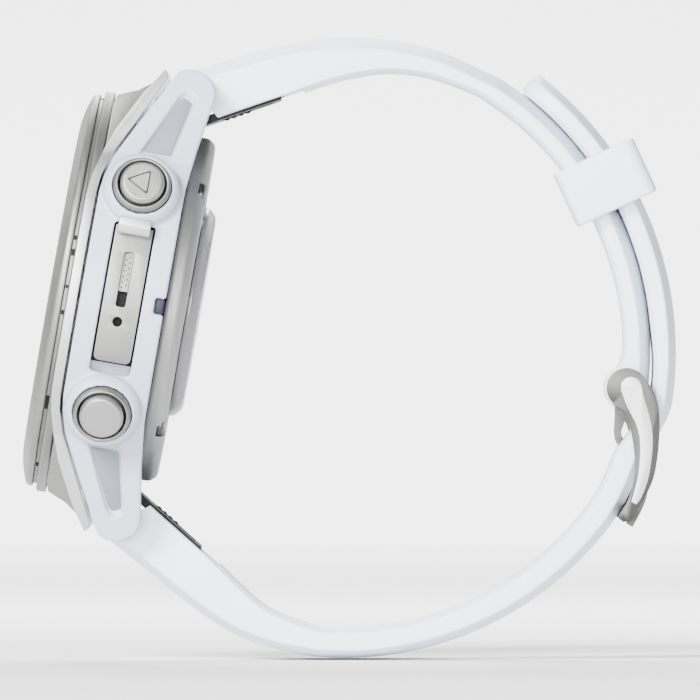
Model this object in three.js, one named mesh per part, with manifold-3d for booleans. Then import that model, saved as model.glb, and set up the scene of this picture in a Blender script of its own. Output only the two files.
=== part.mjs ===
// GPS running watch with its band buckled into a closed loop, in millimetres.
// +Z is up, the dial faces -X and leans back 10 degrees, the two-button side faces -Y.
// The origin is under the middle of the whole watch, on the level of the band's lowest point.

import * as THREE from 'three';
import { mergeVertices } from 'three/addons/utils/BufferGeometryUtils.js';
import Module from 'manifold-3d';

const wasm = await Module();
wasm.setup();

const degrees = Math.PI / 180;

// Case, measured along its axis from the middle of the two-button side.
const caseCentre = [-26.17, 0, 38.85];
const caseLean = 10 * degrees;
const bezelRadius = 21.5;
const lensFront = -6.12;
const bezelFront = -6.27;
const bezelBack = -4.65;
const ringRadius = 21.9;
const ringFront = -4.2;
const ringBack = -3.15;
const bodyRadius = 20.9;
const bodyBoreRadius = 17.5;
const bodyFront = -2.7;
const bodyBack = 6.0;
const coverRadius = 18.8;
const coverFront = 6.3;
const coverBack = 8.5;
const sensorRadius = 11.4;
const sensorBack = 9.95;
const lensRadius = 16.5;

// Guards, lug frames and lugs.
const guardRadius = 22.9;
const guardInnerRadius = 21.2;
const frameRadius = 23.1;
const frameInnerRadius = 22.2;
const lugInnerY = 10.4;
const lugOuterY = 13.2;
const lugHeight = 26;
const pinX = 4.9;
const pinZ = 22.6;
const pinRadius = 0.9;

// Buttons.
const buttonX = 1.65;
const buttonZ = 12;
const sideSeatY = 20.3;
const middleSeatY = 21.4;
const buttonTilt = 22 * degrees;
const capRadius = 2.5;
const collarRadius = 3.1;
const bossRadius = 4.1;
const capFace = 2.35;

// Band: two concentric layers on the buckle side, and a wider arc under the wrist.
const bandWidth = 20;
const tailWidth = 18;
const upperCentre = [-2.7, 33.0];
const lowerCentre = [-0.8, 36.0];
const buckleLayer = [32.1, 34.6];
const tailLayer = [35.0, 37.7];
const lowerLayer = [32.8, 36.0];
const tailTip = 53.3 * degrees;
const holePitch = 9.3 * degrees;

// Buckle.
const barCentre = [29.6, 29.1];
const barRadius = 0.75;
const loopRadius = 2.4;
const headRadius = 2.2;
const armWidth = 1.8;
const slip = 0.3;

const watch = new THREE.Group();
watch.name = 'gps_running_watch';
const caseGroup = new THREE.Group();
caseGroup.position.set(...caseCentre);
caseGroup.rotation.y = caseLean;
watch.add(caseGroup);

function finish(color, roughness, metalness) {
  return new THREE.MeshStandardMaterial({ color, roughness, metalness });
}

const steel = () => finish(0xc4c4c0, 0.35, 0.9);
const polymer = () => finish(0xe2e4f0, 0.55, 0);
const silicone = () => finish(0xf2f4f9, 0.6, 0);
const blackPlastic = () => finish(0x17181c, 0.5, 0);
const glass = () => finish(0x0b0d12, 0.08, 0);
const circuit = () => finish(0x1f5a3c, 0.6, 0.1);
const foil = () => finish(0x8e9298, 0.5, 0.4);

// Welds shared vertices, drops triangles without area and turns the faces outward.
function weld(geometry) {
  const bare = geometry.clone();
  bare.deleteAttribute('normal');
  bare.deleteAttribute('uv');
  const merged = mergeVertices(bare, 1e-4);
  const place = merged.getAttribute('position');
  const source = merged.getIndex().array;
  const corner = [new THREE.Vector3(), new THREE.Vector3(), new THREE.Vector3()];
  const kept = [];
  let volume = 0;
  for (let i = 0; i < source.length; i += 3) {
    const triangle = [source[i], source[i + 1], source[i + 2]];
    if (new Set(triangle).size < 3) continue;
    corner.forEach((point, k) => point.fromBufferAttribute(place, triangle[k]));
    volume += corner[0].dot(corner[1].cross(corner[2]));
    kept.push(triangle);
  }
  if (volume < 0) kept.forEach((triangle) => triangle.reverse());
  merged.setIndex(kept.flat());
  return merged;
}

function solid(geometry) {
  const welded = weld(geometry);
  const vertProperties = new Float32Array(welded.getAttribute('position').array);
  const triVerts = new Uint32Array(welded.getIndex().array);
  return new wasm.Manifold(new wasm.Mesh({ numProp: 3, vertProperties, triVerts }));
}

function surface(body) {
  const mesh = body.getMesh();
  const geometry = new THREE.BufferGeometry();
  geometry.setAttribute('position', new THREE.BufferAttribute(new Float32Array(mesh.vertProperties), 3));
  geometry.setIndex(Array.from(mesh.triVerts));
  return geometry;
}

function cut(geometry, ...tools) {
  let body = solid(geometry);
  for (const tool of tools) body = body.subtract(solid(tool));
  return surface(body);
}

function common(first, second) {
  return surface(solid(first).intersect(solid(second)));
}

function join(first, ...others) {
  let body = solid(first);
  for (const other of others) body = body.add(solid(other));
  return surface(body);
}

function piece(parent, name, geometry, material) {
  const mesh = new THREE.Mesh(weld(geometry), material);
  mesh.name = name;
  parent.add(mesh);
  return mesh;
}

// A ring or disc about the X axis from [radius, x] corners; a ring closes on its first corner.
function turnedX(corners, segments = 36) {
  const profile = corners.map(([radius, x]) => new THREE.Vector2(radius, x));
  if (corners[0][0] > 0) profile.push(profile[0].clone());
  return new THREE.LatheGeometry(profile, segments).rotateZ(-Math.PI / 2);
}

// The same about the Z axis, used in a button's own frame where +Z points out of the case.
function turnedZ(corners, segments = 20) {
  const profile = corners.map(([radius, z]) => new THREE.Vector2(radius, z));
  if (corners[0][0] > 0) profile.push(profile[0].clone());
  return new THREE.LatheGeometry(profile, segments).rotateX(Math.PI / 2);
}

// An outline in X and Z carried across Y from low to high.
function acrossY(points, low, high) {
  const shape = new THREE.Shape(points.map((p) => new THREE.Vector2(...p)));
  const options = { depth: high - low, bevelEnabled: false };
  return new THREE.ExtrudeGeometry(shape, options).rotateX(Math.PI / 2).translate(0, high, 0);
}

// An outline in Y and Z carried along X from low to high.
function alongX(points, low, high) {
  const shape = new THREE.Shape(points.map((p) => new THREE.Vector2(...p)));
  const geometry = new THREE.ExtrudeGeometry(shape, { depth: high - low, bevelEnabled: false });
  geometry.rotateX(Math.PI / 2);
  geometry.rotateZ(Math.PI / 2);
  return geometry.translate(low, 0, 0);
}

function rodY(x, z, radius, low, high, segments = 20) {
  return new THREE.CylinderGeometry(radius, radius, high - low, segments).translate(x, (low + high) / 2, z);
}

function rodX(y, z, radius, low, high, segments = 20) {
  const rod = new THREE.CylinderGeometry(radius, radius, high - low, segments);
  return rod.rotateZ(Math.PI / 2).translate((low + high) / 2, y, z);
}

function block(low, high) {
  const size = high.map((value, i) => value - low[i]);
  const middle = high.map((value, i) => (value + low[i]) / 2);
  return new THREE.BoxGeometry(...size).translate(...middle);
}

function polar(centre, radius, angle) {
  return [centre[0] + radius * Math.cos(angle), centre[1] + radius * Math.sin(angle)];
}

function arcPoints(centre, radius, from, to, steps) {
  const angles = Array.from({ length: steps + 1 }, (_, i) => from + ((to - from) * i) / steps);
  return angles.map((angle) => polar(centre, radius, angle));
}

function smooth(points, steps) {
  const curve = new THREE.SplineCurve(points.map((p) => new THREE.Vector2(...p)));
  return curve.getPoints(steps).map((p) => [p.x, p.y]);
}

// Both halves of an outline that is symmetric about Z = 0, from its upper half.
function mirrored(upperHalf) {
  const lowerHalf = upperHalf.map(([x, z]) => [x, -z]).reverse();
  return [...upperHalf, ...lowerHalf];
}

// Front-view band of a guard or lug frame: a round middle that runs straight to the two lug ends.
function frontBand(outer, inner, tipOuter, tipInner, height) {
  const bend = 42 * degrees;
  const outerArc = arcPoints([0, 0], outer, -bend, bend, 12);
  const innerArc = arcPoints([0, 0], inner, bend, -bend, 12);
  return [[tipOuter, -height], ...outerArc, [tipOuter, height], [tipInner, height],
    [tipInner, inner * Math.sin(62 * degrees)], ...innerArc,
    [tipInner, -inner * Math.sin(62 * degrees)], [tipInner, -height]];
}

const lugEnd = arcPoints([4.9, 22.95], 2.75, 0, 125 * degrees, 8);
const guardOutline = mirrored([[6.27, 12.7], [6.7, 17], [7.24, 20.6], ...lugEnd,
  [0, 18.96], [-1.94, 15.1], [-2.6, 12.7], [-2.8, 11.1]]);
const frameOutline = mirrored([[2.3, 24.6], [1.9, 25.3], [0, 22.4], [-2.2, 18.1], [-3.8, 13.2], [-4.1, 10.5]]);
const wingOutline = [[-0.8, 18.8], [0.9, 23.6], [-0.6, 22.5], [-2.7, 21.6], [-3.0, 20.6], [-3.0, 13.6]];
const frameInnerEdge = mirrored([[30, 24.6], [2.45, 24.6], [-0.3, 18.96],
  [-2.24, 15.1], [-2.9, 12.7], [-3.1, 11.1]]);
const panelOutline = [[0.86, 15.9], [4.1, 22.6], [4.5, 22.9], [5.5, 22.4], [4.1, 15.9]];

// A button's own frame: +Z out of the case along the tilted button axis.
function buttonFrame(side, height) {
  const frame = new THREE.Group();
  const seatY = height === 0 ? middleSeatY : sideSeatY;
  frame.position.set(buttonX, -side * seatY, height);
  frame.rotation.x = side * (Math.PI / 2 - Math.sign(height) * buttonTilt);
  frame.updateMatrix();
  return frame;
}

function inButtonFrame(geometry, side, height) {
  return geometry.applyMatrix4(buttonFrame(side, height).matrix);
}

const buttons = [
  { name: 'start', side: 1, height: buttonZ },
  { name: 'back', side: 1, height: -buttonZ },
  { name: 'light', side: -1, height: buttonZ },
  { name: 'up', side: -1, height: 0 },
  { name: 'down', side: -1, height: -buttonZ },
];

// --- Dial end of the case ---
// The bezel's flat rim stands proud of the lens, so the watch lies on the rim.
piece(caseGroup, 'bezel_ring', turnedX([[16.9, bezelFront], [18.2, bezelFront], [19.8, -5.97],
  [bezelRadius - 0.1, -5.4], [bezelRadius, bezelBack], [16.9, bezelBack]], 48), steel());
piece(caseGroup, 'display_lens', turnedX([[0, lensFront], [lensRadius, lensFront],
  [lensRadius, -5.1], [0, -5.1]]), glass());
piece(caseGroup, 'lens_gasket', turnedX([[15.2, -4.9], [16.5, -4.9], [16.5, -4.6], [15.2, -4.6]]),
  blackPlastic());
piece(caseGroup, 'display_panel', turnedX([[0, -4.3], [15.8, -4.3], [15.8, -3.4], [0, -3.4]]), glass());
piece(caseGroup, 'case_ring', turnedX([[18.6, ringFront], [ringRadius, ringFront],
  [ringRadius, ringBack], [18.6, ringBack]], 48), steel());

// --- Case body: an open drum with stem bores and screw bores ---
const screwCircle = 17.7;
const screwAngles = [45, 135, 225, 315].map((angle) => angle * degrees);
const screwPlaces = screwAngles.map((angle) => [screwCircle * Math.cos(angle), screwCircle * Math.sin(angle)]);
const drum = turnedX([[bodyBoreRadius, bodyFront], [bodyRadius, bodyFront], [bodyRadius, bodyBack],
  [16.2, bodyBack], [16.2, 4.2], [bodyBoreRadius, 3.4]]);
const bossFor = (height) => common(
  block([-3, -8.5, height > 0 ? 18.5 : -23.4], [3, 8.5, height > 0 ? 23.4 : -18.5]),
  turnedX([[18.2, bodyFront], [21.7, bodyFront], [22.6, 0], [22.3, 1.4], [18.2, 2.0]]));
const stemBores = buttons.map(({ side, height }) => inButtonFrame(
  new THREE.CylinderGeometry(1.1, 1.1, 20, 12).rotateX(Math.PI / 2), side, height));
const screwBores = screwPlaces.map(([y, z]) => rodX(y, z, 0.85, 3.6, 7, 12));
const hookScoops = [1, -1].map((up) => rodY(pinX, up * pinZ, 2.5, -9.6, 9.6, 20));
piece(caseGroup, 'case_body',
  cut(join(drum, bossFor(1), bossFor(-1)), ...stemBores, ...screwBores, ...hookScoops), polymer());

// --- Guards, their panels, bosses and button seats ---
const guardBand = frontBand(guardRadius, guardInnerRadius, lugOuterY, lugInnerY, lugHeight);
const panelBand = frontBand(guardRadius + 3, guardRadius - 0.5, lugOuterY + 3, lugOuterY - 0.55, lugHeight);
const frameBand = frontBand(frameRadius, frameInnerRadius, lugOuterY + 0.2, lugOuterY - 1.6, lugHeight);
const wingBand = frontBand(frameRadius - 0.3, frameInnerRadius, lugOuterY - 0.1, lugOuterY - 1.6, lugHeight);
const flipY = (points, side) => points.map(([y, z]) => [-side * y, z]);
const barOutline = [[-0.32, -6.1], [0.33, -6.75], [3.02, -6.75], [3.67, -6.1], [3.67, 7.9], [-0.32, 7.9]];
const pocketOutline = [[-0.6, -8.0], [3.95, -8.0], [3.95, 8.2], [-0.6, 8.2]];
const ventLow = [5.25, -0.8];
const ventHigh = [6.8, 0.8];

// A boss on the curved flank starts deeper than the one on the crest.
const bossFoot = (height) => (height === 0 ? -0.15 : -1.2);

function guard(side) {
  const low = side > 0 ? -24 : 10;
  const band = alongX(flipY(guardBand, side), -6, 9);
  const bosses = buttons.filter((button) => button.side === side).map(({ height }) => inButtonFrame(
    turnedZ([[0, bossFoot(height)], [bossRadius, bossFoot(height)], [bossRadius, 0.4],
      [bossRadius - 0.7, 1.15], [0, 1.15]]), side, height));
  const seats = buttons.filter((button) => button.side === side).map(({ height }) => inButtonFrame(
    turnedZ([[0, -4], [collarRadius + 0.15, -4], [collarRadius + 0.15, 3], [0, 3]]), side, height));
  const panels = [1, -1].map((up) => common(
    acrossY(panelOutline.map(([x, z]) => [x, up * z]), low, low + 14),
    alongX(flipY(panelBand, side), -6, 9)));
  const pins = [1, -1].map((up) => rodY(pinX, up * pinZ, pinRadius + 0.1, -12.3, 12.3, 16));
  const ventNotch = block([ventLow[0] - 0.1, -26, ventLow[1] - 0.1], [9, -20, ventHigh[1] + 0.1]);
  const openings = side > 0 ? [acrossY(pocketOutline, -26, -10), ventNotch] : [];
  const shell = join(common(acrossY(guardOutline, low, low + 14), band), ...bosses);
  return cut(shell, ...seats, ...panels, ...pins, ...openings);
}

function lugFrame(side) {
  const low = side > 0 ? -24 : 9;
  const strip = cut(acrossY(frameOutline, low, low + 15), acrossY(frameInnerEdge, low - 1, low + 16));
  const wings = [1, -1].map((up) => common(
    acrossY(wingOutline.map(([x, z]) => [x, up * z]), low, low + 15),
    alongX(flipY(wingBand, side), -6, 9)));
  return join(common(strip, alongX(flipY(frameBand, side), -6, 9)), ...wings);
}

for (const [word, side] of [['right', 1], ['left', -1]]) {
  piece(caseGroup, `${word}_guard`, guard(side), polymer());
  piece(caseGroup, `${word}_lug_frame`, lugFrame(side), steel());
}
for (const [word, up] of [['upper', 1], ['lower', -1]]) {
  piece(caseGroup, `${word}_lug_pin`, rodY(pinX, up * pinZ, pinRadius, -12.2, 12.2, 16), steel());
}

// --- Speaker bar, its mesh insert and the vent plug on the two-button side ---
const barShell = turnedX([[21.35, -1], [22.95, -1], [22.95, 4.5], [21.35, 4.5]], 72);
const soundSlot = acrossY([[1.05, -0.8], [2.15, -0.8], [2.15, 5.2], [1.05, 5.2]], -26, -18);
const microphoneHole = rodY(1.57, -2.4, 0.54, -26, -18, 16);
const speakerBar = common(acrossY(barOutline, -26, -18), barShell);
const ventPlug = block([ventLow[0], -22.6, ventLow[1]], [ventHigh[0] - 0.6, -21.5, ventHigh[1]]);
piece(caseGroup, 'speaker_bar', cut(speakerBar, soundSlot, microphoneHole), steel());
piece(caseGroup, 'speaker_mesh', block([1.2, -22.5, 0.9], [2.0, -21.5, 5.05]), foil());
piece(caseGroup, 'vent_plug', ventPlug, blackPlastic());

// --- Buttons: cap with stem, collar, stem seal and the switch it presses ---
for (const { name, side, height } of buttons) {
  const frame = buttonFrame(side, height);
  const stemEnd = height === 0 ? -3.6 : -7.0;
  const sealTop = height === 0 ? 0.15 : -0.2;
  const collarFoot = height === 0 ? -0.3 : -1.6;
  caseGroup.add(frame);
  piece(frame, `${name}_cap`, turnedZ([[0, stemEnd], [0.75, stemEnd], [0.75, 0.95], [capRadius, 0.95],
    [capRadius, 2.05], [capRadius - 0.3, capFace], [0, capFace]]), steel());
  piece(frame, `${name}_collar`, turnedZ([[capRadius + 0.15, collarFoot], [collarRadius, collarFoot],
    [collarRadius, 1.5], [collarRadius - 0.2, 1.8], [capRadius + 0.15, 1.8]]), steel());
  piece(frame, `${name}_seal`, turnedZ([[0.85, sealTop - 0.45], [1.6, sealTop - 0.45],
    [1.6, sealTop], [0.85, sealTop]], 12), blackPlastic());
  piece(frame, `${name}_switch`, block([-1.3, -1.3, stemEnd - 1.7], [1.3, 1.3, stemEnd - 0.8]), blackPlastic());
}

// --- Back of the case ---
const coverScrewHoles = screwPlaces.map(([y, z]) => rodX(y, z, 0.75, 6, 9, 12));
const coverHeadSeats = screwPlaces.map(([y, z]) => rodX(y, z, 1.3, 7.6, 9, 16));
const portLow = [7.0, -3.6, -16.0];
const portHigh = [8.3, 3.6, -13.2];
const coverDisc = turnedX([[10.3, coverFront], [coverRadius - 0.3, coverFront], [coverRadius, coverFront + 0.3],
  [coverRadius, coverBack - 0.6], [coverRadius - 0.6, coverBack], [10.3, coverBack]], 44);
const portOpening = block(portLow.map((value) => value - 0.2), [9, portHigh[1] + 0.2, portHigh[2] + 0.2]);
piece(caseGroup, 'back_cover', cut(coverDisc, portOpening, ...coverScrewHoles, ...coverHeadSeats), steel());
piece(caseGroup, 'back_gasket', turnedX([[14.9, 5.5], [15.9, 5.5], [15.9, 6.1], [14.9, 6.1]]), blackPlastic());
screwPlaces.forEach(([y, z], i) => {
  const screw = join(rodX(y, z, 1.15, 7.7, 8.4, 16), rodX(y, z, 0.6, 4.0, 7.8, 12));
  piece(caseGroup, `back_screw_${i + 1}`, screw, steel());
});
piece(caseGroup, 'sensor_window', turnedX([[0, 7.2], [10.0, 7.2], [10.0, coverBack + 0.1],
  [sensorRadius, coverBack + 0.1], [sensorRadius, 9.1], [10.6, sensorBack], [0, sensorBack]]), glass());
piece(caseGroup, 'sensor_board', turnedX([[0, 6.2], [9.4, 6.2], [9.4, 6.9], [0, 6.9]], 32), circuit());
piece(caseGroup, 'charging_port', block(portLow, portHigh), blackPlastic());

// --- Inside ---
piece(caseGroup, 'main_board', turnedX([[0, -2.9], [15.2, -2.9], [15.2, -2.1], [0, -2.1]], 40), circuit());
piece(caseGroup, 'battery', block([-1.7, -8.5, -7.5], [4.6, 8.5, 9.5]), foil());
piece(caseGroup, 'speaker', block([0.3, -13.2, -2.5], [2.9, -10.2, 5.5]), blackPlastic());
piece(caseGroup, 'vibration_motor', rodY(1.2, -11.4, 2.0, -2.6, 3.4, 20), steel());
piece(caseGroup, 'eccentric_weight', acrossY(
  arcPoints([1.2, -11.4], 1.9, -200 * degrees, 20 * degrees, 10), -4.8, -2.9), foil());

// --- Band ---
// A pin's place in the watch's frame, from its place on the leaning case.
function pinPlace(up) {
  const place = new THREE.Vector3(pinX, 0, up * pinZ).applyAxisAngle(new THREE.Vector3(0, 1, 0), caseLean);
  return [place.x + caseCentre[0], place.z + caseCentre[2]];
}

// The band leaves each lug pin along s; t points to the band's outer face.
const upperEnd = { pin: pinPlace(1), angle: 18.9 * degrees, turn: 1 };
const lowerEnd = { pin: pinPlace(-1), angle: -41.7 * degrees, turn: -1 };
const plateInner = -3.25;
const plateOuter = -2.35;
const cheekInner = -2.95;
const plateLength = 9.4;
const hookHalfWidth = 9.2;

function fromPin(end, s, t) {
  const [cos, sin] = [Math.cos(end.angle), Math.sin(end.angle)];
  return [end.pin[0] + s * cos - end.turn * t * sin, end.pin[1] + s * sin + end.turn * t * cos];
}

function pinOutline(end, points) {
  return points.map(([s, t]) => fromPin(end, s, t));
}

// Rubber around the hook: a hollow about the pin, then the lower edge of two thin cheeks.
function endHollow(end) {
  const hollow = arcPoints([0, 0], 2.4, 100 * degrees, -50 * degrees, 10);
  return pinOutline(end, [...hollow, [2.2, cheekInner], [plateLength + 0.3, cheekInner]]);
}

// Room between the cheeks for the hook's plate.
function plateRoom(end) {
  const room = [[0, -2.05], [plateLength + 0.3, -2.05], [plateLength + 0.3, -5], [0, -5]];
  return acrossY(pinOutline(end, room), -hookHalfWidth - 0.2, hookHalfWidth + 0.2);
}

function bandTaper(low, high) {
  const half = bandWidth / 2;
  const narrow = tailWidth / 2;
  const plan = [[-40, -half], [-10, -half], [14, -narrow], [45, -narrow],
    [45, narrow], [14, narrow], [-10, half], [-40, half]];
  const shape = new THREE.Shape(plan.map((p) => new THREE.Vector2(...p)));
  return new THREE.ExtrudeGeometry(shape, { depth: high - low, bevelEnabled: false }).translate(0, 0, low);
}

const bandGroup = new THREE.Group();
watch.add(bandGroup);

// Buckle strap: from the upper lug over the top to the loop round the buckle bar.
const buckleStrapOutline = [
  ...smooth([[-18.2, 63.0], [-12.05, 64.8], [-3.4, 66.8], [5.2, 66.5],
    polar(upperCentre, buckleLayer[1], 60 * degrees)], 14),
  ...arcPoints(upperCentre, buckleLayer[1], 57 * degrees, -5 * degrees, 16),
  ...arcPoints(upperCentre, buckleLayer[0], -5 * degrees, 57 * degrees, 16),
  ...smooth([polar(upperCentre, buckleLayer[0], 60 * degrees), [4.2, 63.2], [-1.2, 62.4],
    fromPin(upperEnd, plateLength + 1.2, plateInner)], 8),
  ...endHollow(upperEnd).reverse(),
];
const buckleLoop = rodY(...barCentre, loopRadius, -bandWidth, bandWidth, 24);
const barHole = rodY(...barCentre, barRadius + slip, -bandWidth, bandWidth, 16);
const tongueNotch = rodY(...barCentre, loopRadius + 0.3, -1.5, 1.5, 24);
const buckleStrap = common(join(acrossY(buckleStrapOutline, -15, 15), buckleLoop), bandTaper(20, 70));
piece(bandGroup, 'buckle_strap', cut(buckleStrap, barHole, tongueNotch, plateRoom(upperEnd)), silicone());

// Hole strap: from the lower lug under the wrist, over the buckle bar and up to the tail's tip.
function blend(from, to, start, end, value) {
  const share = THREE.MathUtils.smoothstep(value, start, end);
  return from + (to - from) * share;
}

function tailArc(inner, side, from, to, steps) {
  const angles = Array.from({ length: steps + 1 }, (_, i) => from + ((to - from) * i) / steps);
  return angles.map((angle) => {
    const climbed = blend(inner ? 32.9 : 36.05, side, -20 * degrees, -8 * degrees, angle);
    const settled = blend(0, inner ? -0.3 : 0, -4 * degrees, 6 * degrees, angle);
    return polar(upperCentre, climbed + settled, angle);
  });
}

const holeStrapOutline = [
  ...smooth([[-28.2, 14.6], [-22.9, 10.05], [-18.5, 6.5], [-14.2, 3.4], [-9.5, 1.25],
    polar(lowerCentre, lowerLayer[1], -98 * degrees)], 15),
  ...arcPoints(lowerCentre, lowerLayer[1], -94 * degrees, -36 * degrees, 14),
  ...tailArc(false, tailLayer[1], -28 * degrees, tailTip - 1 * degrees, 26),
  polar(upperCentre, tailLayer[1] - 0.5, tailTip),
  polar(upperCentre, tailLayer[0] + 0.5, tailTip),
  ...tailArc(true, tailLayer[0] + 0.3, tailTip - 1 * degrees, -28 * degrees, 26),
  ...arcPoints(lowerCentre, lowerLayer[0], -36 * degrees, -92 * degrees, 14),
  ...smooth([polar(lowerCentre, lowerLayer[0], -97 * degrees), [-9.2, 5.5],
    fromPin(lowerEnd, plateLength + 1.2, plateInner)], 8),
  ...endHollow(lowerEnd).reverse(),
];
const tongueHoleAngle = -18.6 * degrees;
const holeCount = 9;

function strapHole(angle, length) {
  const hole = new THREE.CylinderGeometry(1.25, 1.25, 12, 10);
  hole.rotateZ(Math.PI / 2);
  hole.scale(1, 1, length / 2.5);
  hole.translate(35.5, 0, 0);
  hole.rotateY(-angle);
  return hole.translate(upperCentre[0], 0, upperCentre[1]);
}

const holes = Array.from({ length: holeCount }, (_, i) => {
  const angle = tongueHoleAngle + (i - 2) * holePitch;
  return strapHole(angle, i === 2 ? 5.0 : 3.2);
});
const holeStrap = common(acrossY(holeStrapOutline, -15, 15), bandTaper(-5, 70));
piece(bandGroup, 'hole_strap', cut(holeStrap, ...holes, plateRoom(lowerEnd)), silicone());

// Quick-release hooks: a ring round the lug pin, open to the dial side, on a plate under the band.
function releaseHook(end) {
  const ring = rodY(...end.pin, 2.1, -hookHalfWidth, hookHalfWidth, 24);
  const plate = acrossY(pinOutline(end, [[0.35, plateInner], [plateLength, plateInner],
    [plateLength, plateOuter], [1.4, plateOuter], [1.4, -1.2], [0.35, -1.2]]), -hookHalfWidth, hookHalfWidth);
  const bore = rodY(...end.pin, pinRadius + slip, -bandWidth, bandWidth, 16);
  const mouth = acrossY(pinOutline(end, [[0.49, 0.88], [-0.49, -0.88], [-3.1, 0.57], [-2.1, 2.32]]
    .map(([s, t]) => [s * 1.1, t * 1.1])), -bandWidth, bandWidth);
  const window = acrossY(pinOutline(end, [[2.6, -4], [8.4, -4], [8.4, -1.5], [2.6, -1.5]]), -3.3, 3.3);
  return cut(join(ring, plate), bore, mouth, window);
}

function releaseLatch(end) {
  const slider = pinOutline(end, [[2.8, plateInner - 0.1], [3.4, plateInner - 0.25], [6.0, plateInner - 0.25],
    [6.5, plateInner - 0.05], [6.5, plateOuter], [2.8, plateOuter]]);
  return acrossY(slider, -3.0, 3.0);
}

for (const [word, end] of [['upper', upperEnd], ['lower', lowerEnd]]) {
  piece(bandGroup, `${word}_release_hook`, releaseHook(end), blackPlastic());
  piece(bandGroup, `${word}_release_latch`, releaseLatch(end), blackPlastic());
}

// --- Buckle ---
const armInnerY = tailWidth / 2 + 0.35;
const armOuterY = armInnerY + armWidth;
const barEnd = armOuterY - 0.35;
piece(bandGroup, 'buckle_bar', rodY(...barCentre, barRadius, -barEnd, barEnd, 16), steel());

const armOutline = [
  ...smooth([[31.3, 30.6], [32.8, 28.0], [33.15, 24.5], [32.6, 19.8], [31.2, 16.7], [29.7, 14.75]], 14),
  [29.2, 14.65], [28.6, 15.2],
  ...smooth([[29.2, 16.0], [30.1, 18.3], [30.45, 21.0], [30.0, 24.5], [29.2, 26.3], [28.1, 27.4]], 12),
];

// A wedge of the buckle about the band's centre, from four [radius, angle in degrees] corners.
function wedge(corners, halfWidth) {
  const outline = corners.map(([radius, angle]) => polar(upperCentre, radius, angle * degrees));
  return acrossY(outline, -halfWidth, halfWidth);
}

function buckleFrame() {
  const side = acrossY(armOutline, -armOuterY, armOuterY);
  const head = rodY(...barCentre, headRadius, -armOuterY, armOuterY, 28);
  const crossbar = common(side, wedge([[37.9, -27], [37.9, -33], [36.25, -33], [36.35, -27]], armOuterY));
  const barBore = rodY(...barCentre, barRadius + slip, -barEnd - 0.05, barEnd + 0.05, 16);
  const arms = cut(join(side, head), barBore, block([20, -armInnerY, 0], [40, armInnerY, 40]));
  const tipNotch = wedge([[38.6, -24], [38.6, -34], [37.0, -34], [37.0, -24]], 1.2);
  return cut(join(arms, crossbar), tipNotch);
}

piece(bandGroup, 'buckle_frame', buckleFrame(), steel());

function tongue() {
  const middle = [[31.8, -9], [32.25, -12], [32.8, -16.2], [34.5, -18.4],
    [36.6, -20.8], [37.6, -24.6], [37.7, -30]];
  const edge = (turn) => middle.map(([radius, angle], i) => {
    const steep = i > 1 && i < 5;
    const half = steep ? 0.3 : 0.45;
    const lean = steep ? 0.6 : 0;
    const root = turn > 0 && i < 2 ? 0.5 : 0;
    return polar(upperCentre, radius + root + turn * half, (angle + turn * lean) * degrees);
  });
  const finger = acrossY([...smooth(edge(1), 14), ...smooth(edge(-1), 14).reverse()], -0.9, 0.9);
  const barrel = rodY(...barCentre, 1.9, -1.2, 1.2, 20);
  return cut(join(barrel, finger), rodY(...barCentre, barRadius + slip, -5, 5, 16));
}

piece(bandGroup, 'buckle_tongue', tongue(), steel());

// --- Keeper: a square ring of silicone round both layers ---
const keeperAngle = 31.3 * degrees;
const keeperLean = 6.5 * degrees;
const keeperRadius = 35.2;
const keeperHalf = [4.65, tailWidth / 2 + 1.8, 3.15];
const keeperOpening = { low: 31.45 - keeperRadius, high: 38.45 - keeperRadius, half: tailWidth / 2 + 0.35 };
const keeper = cut(
  block(keeperHalf.map((value) => -value), keeperHalf),
  block([keeperOpening.low, -keeperOpening.half, -5], [keeperOpening.high, keeperOpening.half, 5]));
keeper.rotateY(keeperLean - keeperAngle);
const [keeperX, keeperZ] = polar(upperCentre, keeperRadius, keeperAngle);
piece(bandGroup, 'keeper', keeper.translate(keeperX, 0, keeperZ), silicone());

export default watch;
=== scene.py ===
import math

import bmesh
import bpy
from mathutils import Matrix, Vector


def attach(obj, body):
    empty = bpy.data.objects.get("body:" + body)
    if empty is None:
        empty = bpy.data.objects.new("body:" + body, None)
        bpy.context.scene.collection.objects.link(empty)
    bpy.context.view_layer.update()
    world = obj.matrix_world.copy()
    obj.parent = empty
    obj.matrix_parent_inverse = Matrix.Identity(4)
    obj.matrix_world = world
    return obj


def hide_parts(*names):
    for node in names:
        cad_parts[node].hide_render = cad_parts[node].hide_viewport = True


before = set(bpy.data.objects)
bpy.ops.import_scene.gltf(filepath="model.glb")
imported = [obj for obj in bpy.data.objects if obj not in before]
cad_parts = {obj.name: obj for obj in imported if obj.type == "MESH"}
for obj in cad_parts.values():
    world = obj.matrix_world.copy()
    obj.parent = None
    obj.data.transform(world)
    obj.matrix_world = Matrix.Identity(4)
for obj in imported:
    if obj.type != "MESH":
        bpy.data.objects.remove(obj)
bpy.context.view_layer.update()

MM = 0.001
DEG = math.pi / 180

# Case, measured along its axis (x) from the middle of the two-button side, z to 12 o'clock.
CASE_PLACE = Matrix.Translation((-26.17, 0, 38.85)) @ Matrix.Rotation(10 * DEG, 4, "Y")
ROW_PLACE = Matrix.Identity(4)
LENS_R = 16.5
GUARD_R = 22.9
GUARD_INNER_R = 21.2
LUG_INNER_Y = 10.4
LUG_OUTER_Y = 13.2
LUG_HEIGHT = 26
PIN_X = 4.9
PIN_Z = 22.6
SENSOR_R = 11.4

# Buttons.
BUTTON_X = 1.65
SIDE_SEAT = 20.3
MIDDLE_SEAT = 21.4
BUTTON_TILT = 22 * DEG
CAP_R = 2.5
COLLAR_R = 3.1
BOSS_R = 4.1
BUTTONS = {"start": (1, 12), "back": (1, -12), "light": (-1, 12), "up": (-1, 0), "down": (-1, -12)}

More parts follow.
